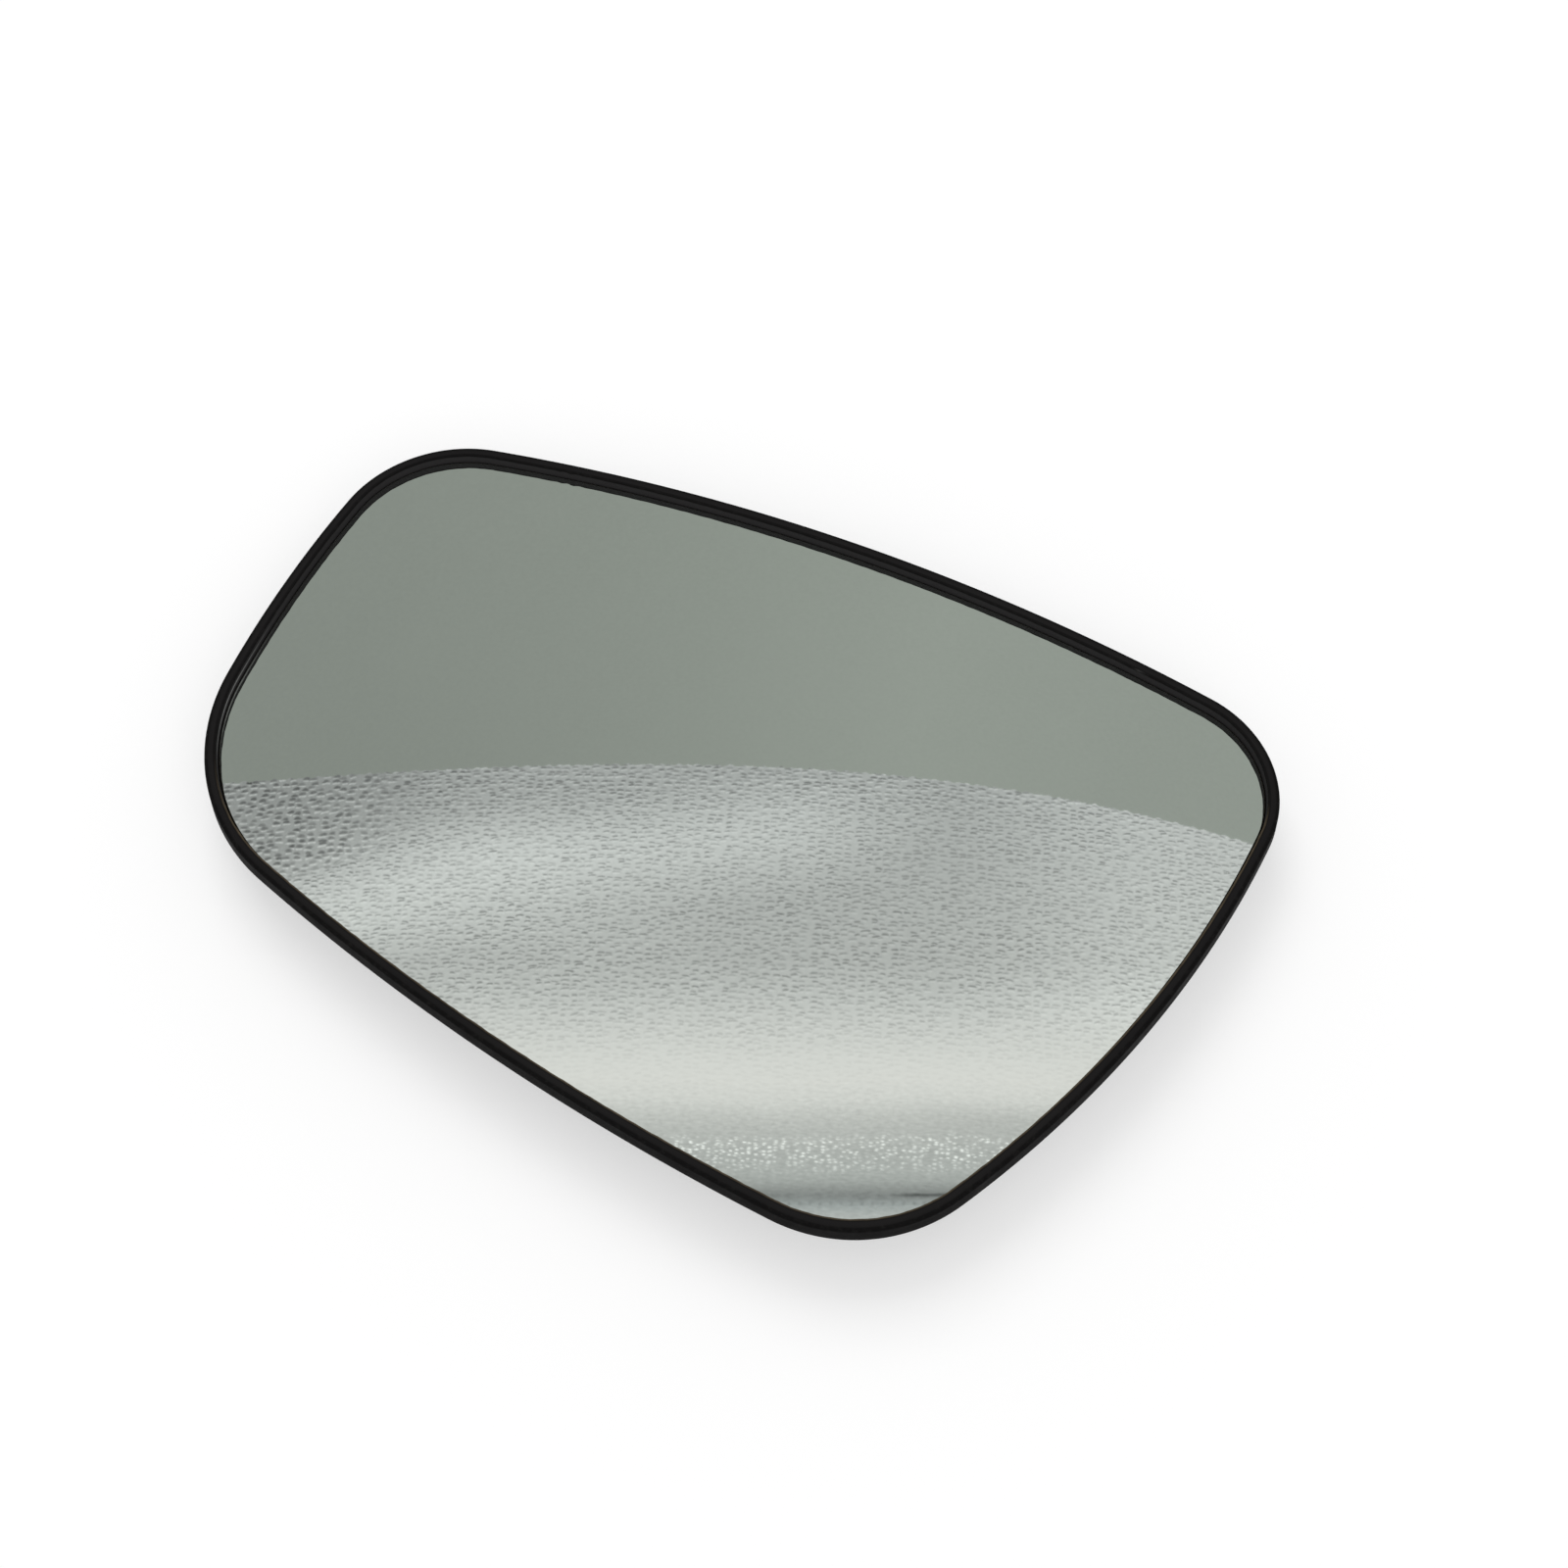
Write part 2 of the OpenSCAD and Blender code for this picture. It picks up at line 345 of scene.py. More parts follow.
class Nodes:
    """The nodes of one material or world. Their arguments are values, numbers or colours."""

    def __init__(self, tree):
        self.tree = tree
        tree.nodes.clear()

    def feed(self, value, socket):
        """Links a value to a socket, or writes a plain one into it."""
        if isinstance(value, Value):
            self.tree.links.new(value.socket, socket)
        elif socket.type == "RGBA":
            socket.default_value = (*value, 1.0)
        else:
            socket.default_value = value

    def add(self, kind, **values):
        """New node, each value of which goes to the input or else the property of its name."""
        node = self.tree.nodes.new(kind)
        for key, value in values.items():
            if key in node.inputs:
                self.feed(value, node.inputs[key])
            else:
                setattr(node, key, value)
        return node

    def out(self, node, name=0):
        return Value(self, node.outputs[name])

    def coords(self):
        return self.out(self.add("ShaderNodeTexCoord"), "Object")

    def attribute(self, name):
        return self.out(self.add("ShaderNodeAttribute", attribute_name=name), "Fac")

    def scaled(self, coords, x, y):
        return self.out(self.add("ShaderNodeMapping", Vector=coords, Scale=(x, y, 1.0)))

    def noise(self, coords, pattern, output="Fac"):
        """Noise whose pattern is (scale, detail, roughness)."""
        scale, detail, rough = pattern
        node = self.add(
            "ShaderNodeTexNoise", Vector=coords, Scale=scale, Detail=detail, Roughness=rough)
        return self.out(node, output)

    def ramp(self, factor, stops):
        """Colour ramp through stops of (position, colour or grey)."""
        node = self.add("ShaderNodeValToRGB", Fac=factor)
        elements = node.color_ramp.elements
        while len(elements) < len(stops):
            elements.new(0.5)
        for element, (position, colour) in zip(elements, stops):
            element.position = position
            element.color = (*((colour,) * 3 if isinstance(colour, float) else colour), 1.0)
        return self.out(node, "Color")

    def bump(self, height, distance, strength=1.0, normal=None):
        values = {"Height": height, "Distance": distance, "Strength": strength}
        if normal:
            values["Normal"] = normal
        return self.out(self.add("ShaderNodeBump", **values), "Normal")

    def mix(self, factor, a, b, blend="MIX"):
        """Mix of two colours."""
        node = self.add("ShaderNodeMix", data_type="RGBA", blend_type=blend)
        for value, socket in zip((factor, a, b), (0, 6, 7)):
            self.feed(value, node.inputs[socket])
        return self.out(node, 2)

    def math(self, operation, a, b=0.0):
        node = self.add("ShaderNodeMath", operation=operation)
        self.feed(a, node.inputs[0])
        self.feed(b, node.inputs[1])
        return self.out(node)

    def vector(self, operation, a, b=None, **values):
        """Result of a vector math node."""
        node = self.add("ShaderNodeVectorMath", operation=operation, **values)
        self.feed(a, node.inputs[0])
        if b:
            self.feed(b, node.inputs[1])
        return self.out(node, "Value" if operation == "LENGTH" else "Vector")

    def split(self, vector):
        """The x, y and z of a vector, or the red, green and blue of a colour."""
        node = self.add("ShaderNodeSeparateXYZ", Vector=vector)
        return [self.out(node, k) for k in range(3)]

    def step(self, value, low, high):
        """Smooth step from 0 at low to 1 at high; low may be the larger one."""
        rising = low < high
        node = self.add("ShaderNodeMapRange", interpolation_type="SMOOTHSTEP", Value=value, **{
            "From Min": min(low, high), "From Max": max(low, high),
            "To Min": 0.0 if rising else 1.0, "To Max": 1.0 if rising else 0.0,
        })
        return self.out(node, "Result")

    def hill(self, value, centre, half_width):
        """Smooth hump, 1 at centre and 0 at half_width to each side."""
        return self.step(abs(value - centre), half_width, 0.0)

    def seen_by(self, path, *rays):
        """1 for the rays of the kinds named, else 0, from a Light Path node."""
        seen = self.out(path, rays[0])
        for ray in rays[1:]:
            seen = self.math("MAXIMUM", seen, self.out(path, ray))
        return seen

    def principled(self, values):
        return self.out(self.add("ShaderNodeBsdfPrincipled", **values))

    def emission(self, colour, strength=1.0):
        return self.out(self.add("ShaderNodeEmission", Color=colour, Strength=strength))

    def join(self, kind, a, b, **values):
        """Mix or sum of two shaders, which are the last two inputs of its node."""
        node = self.add(kind, **values)
        self.feed(a, node.inputs[-2])
        self.feed(b, node.inputs[-1])
        return self.out(node)


def new_material(name, build):
    """Material whose surface is the shader that build makes with its nodes."""
    material = bpy.data.materials.new(name)
    material.use_nodes = True
    nodes = Nodes(material.node_tree)
    nodes.add("ShaderNodeOutputMaterial", Surface=build(nodes))
    return material


# ---- Materials of the part

# Noise patterns: scale in cells per metre, detail and roughness
PATCHES = (60.0, 4.0, 0.5)
SCRATCHES = (900.0, 3.0, 0.7)
CHIPS = (420.0, 3.0, 0.6)
SHEEN = (260.0, 3.0, 0.5)
RIM_GRAIN = (5200.0, 2.0, 0.6)
RIM_UNEVEN = (420.0, 2.0, 0.5)
BACK_GRAIN = (3600.0, 2.0, 0.6)
BACK_FLOW = (130.0, 3.0, 0.5)
COATING = (45.0, 5.0, 0.6)
PANE_WAVE = (30.0, 1.0, 0.5)
GRIT = (1500.0, 3.0, 0.6)
FOAM_SKIN = (300.0, 3.0, 0.5)
FOAM_CELLS = 3500.0

# Mixed into the rim's colour: painted shade, painted light on the pocket wall, rubbed wear of rim
# and back, and the painted brown highlight and grey glint of the lip
SHADED_BLACK = (0.0048, 0.0045, 0.0045)
POCKET_PAINTED_LIGHT = (0.0360, 0.0342, 0.0352)
RIM_RUBBED = (0.022, 0.021, 0.020)
BACK_RUBBED = (0.040, 0.039, 0.038)
ARRIS_HIGHLIGHT_BROWN = (0.135, 0.105, 0.068)
GLINT_GREY = (0.46, 0.46, 0.45)


def rim_plastic(nodes):
    """Matt black plastic of the rim: fine grain, rubbed edges, painted shade, a painted lighter
    pocket wall and painted highlights on the lip.
    """
    coords = nodes.coords()
    colour = nodes.ramp(nodes.noise(coords, PATCHES), [
        (0.3, (0.0120, 0.0113, 0.0116)), (0.7, (0.0148, 0.0140, 0.0140)),
    ])
    # Above 0 the layer "shade" paints shade, and below 0 it paints the pocket wall lighter, as if
    # lit
    shade = nodes.attribute("shade")
    colour = nodes.mix(nodes.math("MAXIMUM", shade, 0.0), colour, SHADED_BLACK)
    colour = nodes.mix(nodes.math("MAXIMUM", shade * -1.0, 0.0), colour, POCKET_PAINTED_LIGHT)
    scratches = nodes.ramp(nodes.noise(coords, SCRATCHES), [(0.50, 0.0), (0.72, 1.0)])
    colour = nodes.mix(nodes.attribute("edge") * scratches, colour, RIM_RUBBED)
    broken = nodes.ramp(nodes.noise(coords, CHIPS), [(0.25, 0.55), (0.65, 1.0)])
    # Painted highlight: a brown line on the lip's arris
    colour = nodes.mix(nodes.attribute("arris") * broken, colour, ARRIS_HIGHLIGHT_BROWN)
    # Painted glint: a grey highlight line on the pocket wall, and a pale spot at the nick
    colour = nodes.mix(nodes.attribute("glint") * broken, colour, GLINT_GREY)
    uneven = nodes.bump(nodes.noise(coords, RIM_UNEVEN), distance=0.030 * MM, strength=0.5)
    grain = nodes.noise(coords, RIM_GRAIN)
    return nodes.principled({
        "Base Color": colour,
        "Roughness": nodes.ramp(nodes.noise(coords, SHEEN), [(0.3, 0.50), (0.7, 0.62)]),
        "Normal": nodes.bump(grain, distance=0.012 * MM, strength=0.6, normal=uneven),
        "Specular IOR Level": 0.02,
    })


def back_plastic(nodes):
    """Black plastic behind the rim, smooth from the mould: low sheen, flow marks, rubbed ribs."""
    coords = nodes.coords()
    colour = nodes.ramp(nodes.noise(coords, PATCHES), [
        (0.3, (0.0120, 0.0116, 0.0120)), (0.7, (0.0165, 0.0160, 0.0160)),
    ])
    scratches = nodes.ramp(nodes.noise(coords, SCRATCHES), [(0.45, 0.0), (0.70, 1.0)])
    flow = nodes.bump(nodes.noise(coords, BACK_FLOW), distance=0.080 * MM, strength=0.5)
    grain = nodes.noise(coords, BACK_GRAIN)
    return nodes.principled({
        "Base Color": nodes.mix(nodes.attribute("edge") * scratches, colour, BACK_RUBBED),
        "Roughness": nodes.ramp(nodes.noise(coords, SHEEN), [(0.3, 0.36), (0.7, 0.48)]),
        "Normal": nodes.bump(grain, distance=0.010 * MM, strength=0.5, normal=flow),
        "Specular IOR Level": 0.40,
    })


def silvered_face(nodes):
    """Mirror coating with a faint green cast and a trace of dust."""
    coords = nodes.coords()
    coating = nodes.noise(coords, COATING)
    return nodes.principled({
        "Base Color": nodes.ramp(coating, [
            (0.25, (0.775, 0.805, 0.785)), (0.75, (0.795, 0.825, 0.805)),
        ]),
        "Roughness": nodes.ramp(coating, [(0.3, 0.012), (0.8, 0.022)]),
        "Normal": nodes.bump(nodes.noise(coords, PANE_WAVE), distance=0.0008 * MM),
        "Metallic": 1.0,
    })


def glass_edge(nodes):
    """Ground edge of the pane, where the silvering ends in a thin warm line."""
    grit = nodes.noise(nodes.coords(), GRIT)
    return nodes.principled({
        "Base Color": nodes.ramp(grit, [
            (0.3, (0.020, 0.017, 0.012)), (0.7, (0.042, 0.037, 0.026)),
        ]),
        "Roughness": nodes.ramp(grit, [(0.3, 0.30), (0.7, 0.5)]),
        "Normal": nodes.bump(grit, distance=0.020 * MM, strength=0.5),
    })


def adhesive_foam(nodes):
    """Closed-cell foam of the adhesive pad."""
    coords = nodes.coords()
    cells = nodes.add("ShaderNodeTexVoronoi", Vector=coords, Scale=FOAM_CELLS)
    cells = nodes.out(cells, "Distance")
    return nodes.principled({
        "Base Color": nodes.ramp(cells, [(0.1, 0.035), (0.6, 0.075)]),
        "Roughness": nodes.ramp(nodes.noise(coords, FOAM_SKIN), [(0.3, 0.8), (0.7, 0.95)]),
        "Normal": nodes.bump(cells, distance=0.060 * MM),
    })


RIM_PLASTIC = new_material("rim_plastic", rim_plastic)
BACK_PLASTIC = new_material("moulded_plastic", back_plastic)
SILVER = new_material("silvered_face", silvered_face)
GLASS_EDGE = new_material("glass_edge", glass_edge)
FOAM = new_material("adhesive_foam", adhesive_foam)


# ---- Pane

def make_pane():
    """Domed pane: silvered face, ground bevel, edge and back."""
    bm = bmesh.new()

    def ring_at(inset, depth):
        points = outline(inset)
        return add_ring(bm, [(x, y, dome_at(GLASS_FRONT_Z, x, y) - depth) for x, y in points])

    def band(sections):
        """Strip through sections of (inset, depth below the face); gives its first ring."""
        rings = [ring_at(inset, depth) for inset, depth in sections]
        for low, high in zip(rings, rings[1:]):
            bridge(bm, low, high, 1)
        return rings[0]

    face_inset = GLASS_INSET + GLASS_BEVEL
    dome_cap(bm, ring_at(face_inset, 0.0), GLASS_FRONT_Z, PANE_STEPS)
    # The bevel, the edge and the back are separate shells, so that the face keeps its normals
    bevel_middle = (GLASS_INSET + BEVEL_MIDDLE, BEVEL_MIDDLE)
    band([(GLASS_INSET, GLASS_BEVEL), bevel_middle, (face_inset, 0.0)])
    back = band([(GLASS_INSET + GLASS_LEAN, GLASS_T), (GLASS_INSET, GLASS_BEVEL)])
    dome_cap(bm, back, GLASS_BACK_Z, 1, facing_up=False, index=1)
    obj = finish_mesh(bm, "mirror_pane", SILVER, GLASS_EDGE)
    set_dome_normals(obj.data)
    return obj


def set_dome_normals(mesh):
    """Gives the silvered face the normals of the true dome, so that it reflects without facets."""
    dome_centre = Vector((0, 0, DOME_Z * MM))
    normals = []
    for polygon in mesh.polygons:
        for index in polygon.vertices:
            if polygon.material_index == 0:
                normals.append((mesh.vertices[index].co - dome_centre).normalized())
            else:
                normals.append(Vector((0, 0, 0)))
    mesh.normals_split_custom_set(normals)


# ---- Rim and panel

# One ring of the rim's section: inset and depth below the rim's face, then how much it is rubbed
# ("wear"), its painted shade (below 0, painted light on the pocket wall), its painted brown
# highlight on the lip's arris, its painted glint, and how jagged it is
Ring = namedtuple("Ring", "inset depth wear shade arris glint jag", defaults=(0, 0, 0, 0, 0))


def arc_steps(centre, radius, start, end, count):
    """(inset, depth) points of a small rounding in the rim's section; angles in degrees."""
    points = []
    for k in range(count + 1):
        a = math.radians(start + (end - start) * k / count)
        points.append((centre[0] + radius * math.cos(a), centre[1] - radius * math.sin(a)))
    return points


def wall_inset(depth):
    """Inset of the rim's leaning outer wall at one depth."""
    return WALL_SPARE + RIM_DRAFT * (RIM_WALL_H - depth) / (RIM_WALL_H - RIM_EDGE_R)


def rim_section():
    """Rings from the back of the panel, up the outer wall, over the lip and into the pocket."""
    slope_depth = RIM_TOP_Z - PANEL_BACK_Z
    section = [
        Ring(slope_depth - RIM_WALL_H, slope_depth, wear=0.1),
        Ring(0.55, RIM_WALL_H + 0.55, wear=0.2),
        Ring(0.22, RIM_WALL_H + 0.2, wear=0.6),
    ]
    # Painted shade on the outer wall, its rounding and the lip
    for up in (0.1, 0.6, 1.3, 2.0):
        depth = RIM_WALL_H - up
        section.append(Ring(wall_inset(depth), depth, wear=0.3, shade=min(0.9, 0.35 + 0.3 * up)))
    outer = arc_steps((RIM_DRAFT + RIM_EDGE_R, RIM_EDGE_R), RIM_EDGE_R, 180, 90, RIM_EDGE_STEPS)
    section += [Ring(inset, depth, wear=0.35, shade=0.8) for inset, depth in outer]
    section += [
        Ring(1.05, 0.0, wear=0.2, shade=0.2),
        Ring(1.4, 0.005),
        Ring(1.8, 0.005),
        Ring(2.0, 0.0, wear=0.1, shade=0.7, jag=0.3),
    ]
    lip = arc_steps((RIM_W - LIP_R, LIP_R), LIP_R, 90, 0, LIP_STEPS)
    for inset, depth in lip[:-1]:
        section.append(Ring(inset, depth, wear=0.3, shade=0.7, arris=1.0, jag=1.0))
    section.append(Ring(*lip[-1], wear=0.3, shade=0.7, jag=1.0))
    section += [
        # Painted light: below 0 the shade makes the pocket wall paler, as if lit
        Ring(RIM_W, 0.32, wear=0.1, shade=-0.6, jag=0.7),
        Ring(RIM_W, 0.55, shade=-1.0, jag=0.2),
    ]
    section += [Ring(RIM_W, depth, shade=-1.0, glint=glint) for depth, glint in GLINT_BAND]
    section += [
        Ring(RIM_W, LIP_H, shade=-1.0),
        Ring(RIM_W, LIP_H + GLASS_T, shade=-1.0),
        Ring(RIM_W, RIM_TOP_Z - PANEL_FRONT_Z),
    ]
    return section


def jag_at(run, x, y):
    """Small unevenness of the moulded lip, at a run along the outline in millimetres."""
    jag = 0.0
    for height, pitch, wander, slow in LIP_WAVES:
        jag += height * math.sin(run * pitch + wander * math.sin(run * slow))
    height, pitch, start, swell = LIP_SWELL
    jag += height * math.sin(run * pitch + start) * math.sin(run * swell)
    jag += NICK_DEPTH * nick_at(x, y)
    if y > 0:
        fade = math.exp(-((x - ROUGH_X) / ROUGH_REACH) ** 2)
        jag += ROUGH_DEPTH * math.sin(x * ROUGH_PITCH) * fade
    return jag


def nick_at(x, y):
    """1 in the middle of the lip's nick and 0 away from it."""
    return math.exp(-((x - NICK[0]) ** 2 + (y - NICK[1]) ** 2) / NICK_SPREAD)


def glint_at(x, y):
    """Strength of the painted glint line on the lip's inner wall at the narrow end."""
    turn = math.degrees(math.atan2(y, x)) % 360
    return math.exp(-((turn - GLINT_ANGLE) / GLINT_SPREAD) ** 2)


def arris_highlight_at(inward):
    """0 on the far side of the rim to 1 on the side where the arris highlight is painted."""
    facing = -(inward[0] * HIGHLIT_SIDE[0] + inward[1] * HIGHLIT_SIDE[1])
    t = min(1.0, max(0.0, (facing - HIGHLIT_FROM) / HIGHLIT_RANGE))
    return t * t * (3 - 2 * t)


def make_shell():
    """Rim and domed panel as one skin, under construction."""
    bm = bmesh.new()
    layers = [bm.verts.layers.float.new(name) for name in ("edge", "shade", "arris", "glint")]
    rings = []
    for part in rim_section():
        points = outline(part.inset)
        ring = []
        for k, (x, y) in enumerate(points):
            arris_highlight = 0.0
            # Painted glint line on the pocket wall, plus a pale spot at the nick
            shine = part.glint * glint_at(x, y) + NICK_SHINE * part.arris * nick_at(x, y)
            if part.jag:
                inward = unit_inward(points, k)
                # Painted highlight: the brown line on the arris, on one side of the rim only
                arris_highlight = ARRIS_HIGHLIGHT_STRENGTH * part.arris * arris_highlight_at(inward)
                off = part.jag * jag_at(k * OUTLINE_STEP, x, y)
                x, y = x + inward[0] * off, y + inward[1] * off
            v = bm.verts.new((x * MM, y * MM, (dome_at(RIM_TOP_Z, x, y) - part.depth) * MM))
            for layer, value in zip(layers, (part.wear, part.shade, arris_highlight, min(1.0, shine))):
                v[layer] = value
            ring.append(v)
        rings.append(ring)
    for k, (low, high) in enumerate(zip(rings, rings[1:])):
        bridge(bm, low, high, 1 if k < 2 else 0)
    dome_cap(bm, rings[0], PANEL_BACK_Z, PANEL_STEPS, facing_up=False, index=1)
    dome_cap(bm, rings[-1], PANEL_FRONT_Z, PANEL_STEPS, index=1)
    return bm


# ---- Ribs and gussets

def rib_angles():
    middle = (RIBS_BETWEEN - 1) / 2
    return [
        NOTCH_ANGLE + 360.0 / TONGUES * k + RIB_PITCH * (i - middle)
        for k in range(TONGUES) for i in range(RIBS_BETWEEN)
    ]


def rib_profile():
    """Half section of a rib as (half width, height below the panel), from root to tip."""
    half = RIB_T / 2
    points = [(half + RIB_ROOT_R, -RIB_SINK)]
    turns = [math.radians(90 * k / RIB_CURVE_STEPS) for k in range(RIB_CURVE_STEPS + 1)]
    for a in turns:
        points.append((half + RIB_ROOT_R * (1 - math.sin(a)), RIB_ROOT_R * (1 - math.cos(a))))
    for a in turns:
        width = half - RIB_TAPER - RIB_TIP_R * (1 - math.cos(a))
        points.append((width, RIB_H - RIB_TIP_R * (1 - math.sin(a))))
    return points


def rib_section(profile, place):
    """Whole section of a rib; place turns (step to the side, height) into (x, y, z)."""
    section = []
    for side, half_section in ((-1, profile), (1, profile[::-1])):
        for half, height in half_section:
            wear = RIB_WEAR if height > RIB_H - RIB_WORN_H else 0.0
            section.append((place(side * half, height), wear))
    return section


def sweep(bm, sections, closed=False):
    """Skin over sections of (point, wear), open at the panel side."""
    rings = [[worn_vertex(bm, point, wear) for point, wear in section] for section in sections]
    pairs = list(zip(rings, rings[1:]))
    if closed:
        pairs.append((rings[-1], rings[0]))
    for a, b in pairs:
        for k in range(len(a) - 1):
            bm.faces.new((a[k], a[k + 1], b[k + 1], b[k])).material_index = 1
    if not closed:
        bm.faces.new(rings[0][::-1]).material_index = 1
        bm.faces.new(rings[-1]).material_index = 1


def make_ribs(bm):
    """Straight ribs from the ring towards the rim, and the round rib that crosses them."""
    profile = rib_profile()
    for angle in rib_angles():
        cos_a, sin_a = math.cos(math.radians(angle)), math.sin(math.radians(angle))
        reach = outline_reach(angle, RIB_END_INSET)
        count = math.ceil((reach - RING_R) / RIB_STATION)
        sections = []
        for k in range(count + 1):
            r = RING_R - SINK + (reach - RING_R + SINK) * k / count
            base = dome_at(PANEL_BACK_Z, r, 0)
            sections.append(rib_section(profile, lambda across, height: (
                r * cos_a - across * sin_a, r * sin_a + across * cos_a, base - height,
            )))
        sweep(bm, sections)
    base = dome_at(PANEL_BACK_Z, ROUND_RIB_R, 0)
    sections = []
    for k in range(ROUND_RIB_STEPS):
        a = 2 * math.pi * k / ROUND_RIB_STEPS
        sections.append(rib_section(profile, lambda across, height: (
            (ROUND_RIB_R - across) * math.cos(a), (ROUND_RIB_R - across) * math.sin(a),
            base - height,
        )))
    sweep(bm, sections, closed=True)


def make_gussets():
    """Plates that stiffen the ring at each rib, under construction."""
    bm = bmesh.new()
    bm.verts.layers.float.new("edge")
    low_z, top_z = SLIT_H / 2, PANEL_BACK_Z - SINK
    side_view = [
        (RING_R - SINK, low_z), (RING_R + 0.15, low_z + 0.05), (RING_R + 0.5, low_z + 0.35),
        (RING_R + GUSSET_L, PANEL_BACK_Z - RIB_H), (RING_R + GUSSET_L, top_z),
        (RING_R - SINK, top_z),
    ]
    for angle in rib_angles():
        turn = Matrix.Rotation(math.radians(angle), 4, "Z")
        left, right = [
            [worn_vertex(bm, turn @ Vector((r, across, z)), GUSSET_WEAR) for r, z in side_view]
            for across in (-RIB_T / 2, RIB_T / 2)
        ]
        bm.faces.new(left)
        bm.faces.new(right[::-1])
        for k in range(len(side_view)):
            n = (k + 1) % len(side_view)
            bm.faces.new((left[n], left[k], right[k], right[n]))
    return bm


# ---- Clip ring

def ring_columns():
    """Column borders round the ring: (base angle, offset across it, kind of the column after)."""
    tongue, window = TONGUE_W / 2, WINDOW_W / 2
    round_tongue = [
        (-tongue - SLIT_W, "slit"), (-tongue, "tongue"), (-window, "window"),
        (window, "tongue"), (tongue, "slit"), (tongue + SLIT_W, "wall"),
    ]
    borders = [(NOTCH_ANGLE, -KEY_W / 2, "key"), (NOTCH_ANGLE, KEY_W / 2, "wall")]
    for k in range(TONGUES):
        base = NOTCH_ANGLE + 360.0 / TONGUES * (k + 0.5)
        borders += [(base, offset, kind) for offset, kind in round_tongue]

    def angle_of(border):
        return (border[0] + math.degrees(math.asin(border[1] / BORE_R))) % 360.0

    borders.sort(key=angle_of)
    columns = []
    for k, border in enumerate(borders):
        columns.append(border)
        a = angle_of(border)
        b = angle_of(borders[(k + 1) % len(borders)])
        if b <= a:
            b += 360.0
        count = max(1, round((b - a) / RING_COLUMN))
        for i in range(1, count):
            columns.append((a + (b - a) * i / count, 0.0, border[2]))
    return columns


def is_solid(kind, low):
    """Whether a column of this kind is solid in the level that starts at height low."""
    if kind == "slit":
        return low >= SLIT_H
    if kind == "window":
        return not (WINDOW_Z <= low < WINDOW_Z + WINDOW_H)
    if kind == "key":
        return low >= KEY_H
    return True


def make_ring():
    """Clip ring with lead-in, slits, latch windows and key notch, under construction."""
    bm = bmesh.new()
    bm.verts.layers.float.new("edge")
    columns = ring_columns()
    levels = sorted({
        0.0, LEAD_IN, WINDOW_Z, KEY_H, WINDOW_Z + WINDOW_H, SLIT_H, PANEL_BACK_Z + RING_SINK,
    })
    cache = {}

    def vertex(c, level, outer):
        key = (c % len(columns), level, outer)
        if key not in cache:
            base, offset, _ = columns[key[0]]
            z = levels[level]
            r = RING_R if outer else BORE_R + max(0.0, LEAD_IN - z)
            out = math.sqrt(r * r - offset * offset)
            cos_a, sin_a = math.cos(math.radians(base)), math.sin(math.radians(base))
            point = (out * cos_a - offset * sin_a, out * sin_a + offset * cos_a, z)
            cache[key] = worn_vertex(bm, point, MOUTH_WEAR if level == 0 else RING_WEAR)
        return cache[key]

    n_cols, n_levels = len(columns), len(levels) - 1
    solid = [[is_solid(kind, low) for low in levels[:-1]] for _, _, kind in columns]
    for c in range(n_cols):
        for i in range(n_levels):
            if not solid[c][i]:
                continue
            # Corners of the block: next column, next level, outer side
            p = {
                (dc, di, o): vertex(c + dc, i + di, o)
                for dc in (0, 1) for di in (0, 1) for o in (0, 1)
            }
            bm.faces.new((p[0, 0, 1], p[1, 0, 1], p[1, 1, 1], p[0, 1, 1]))
            bm.faces.new((p[1, 0, 0], p[0, 0, 0], p[0, 1, 0], p[1, 1, 0]))
            if i == 0 or not solid[c][i - 1]:
                bm.faces.new((p[0, 0, 0], p[1, 0, 0], p[1, 0, 1], p[0, 0, 1]))
            if i == n_levels - 1 or not solid[c][i + 1]:
                bm.faces.new((p[0, 1, 1], p[1, 1, 1], p[1, 1, 0], p[0, 1, 0]))
            if not solid[(c - 1) % n_cols][i]:
                bm.faces.new((p[0, 0, 0], p[0, 0, 1], p[0, 1, 1], p[0, 1, 0]))
            if not solid[(c + 1) % n_cols][i]:
                bm.faces.new((p[1, 0, 1], p[1, 0, 0], p[1, 1, 0], p[1, 1, 1]))
    return bm


# ---- Pieces of the part

pane = make_pane()

shell = make_shell()
make_ribs(shell)
plate = finish_mesh(shell, "plate_shell", RIM_PLASTIC, BACK_PLASTIC)
smooth_by_angle(plate)

gussets = finish_mesh(make_gussets(), "ring_gussets", BACK_PLASTIC)
bevelled(gussets, GUSSET_BEVEL)

ring = finish_mesh(make_ring(), "clip_ring", BACK_PLASTIC)
bevelled(ring, RING_BEVEL)

for piece in (pane, plate, gussets, ring):
    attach(piece, "root")
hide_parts("mirror_glass")
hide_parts("backing_plate")

pad_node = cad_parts["adhesive_pad"]
pad_node.data.materials.clear()
pad_node.data.materials.append(FOAM)


# ---- Floor

FLOOR_R = 6.0
FLOOR_DROP = 0.05 * MM
FLOOR_GREY = (0.60, 0.60, 0.60)
# Glow of the floor at the part, what it gains with distance, and between which distances
FLOOR_GLOW = 0.45
FLOOR_GLOW_GAIN = 0.18
FLOOR_GLOW_REACH = (0.3, 2.5)


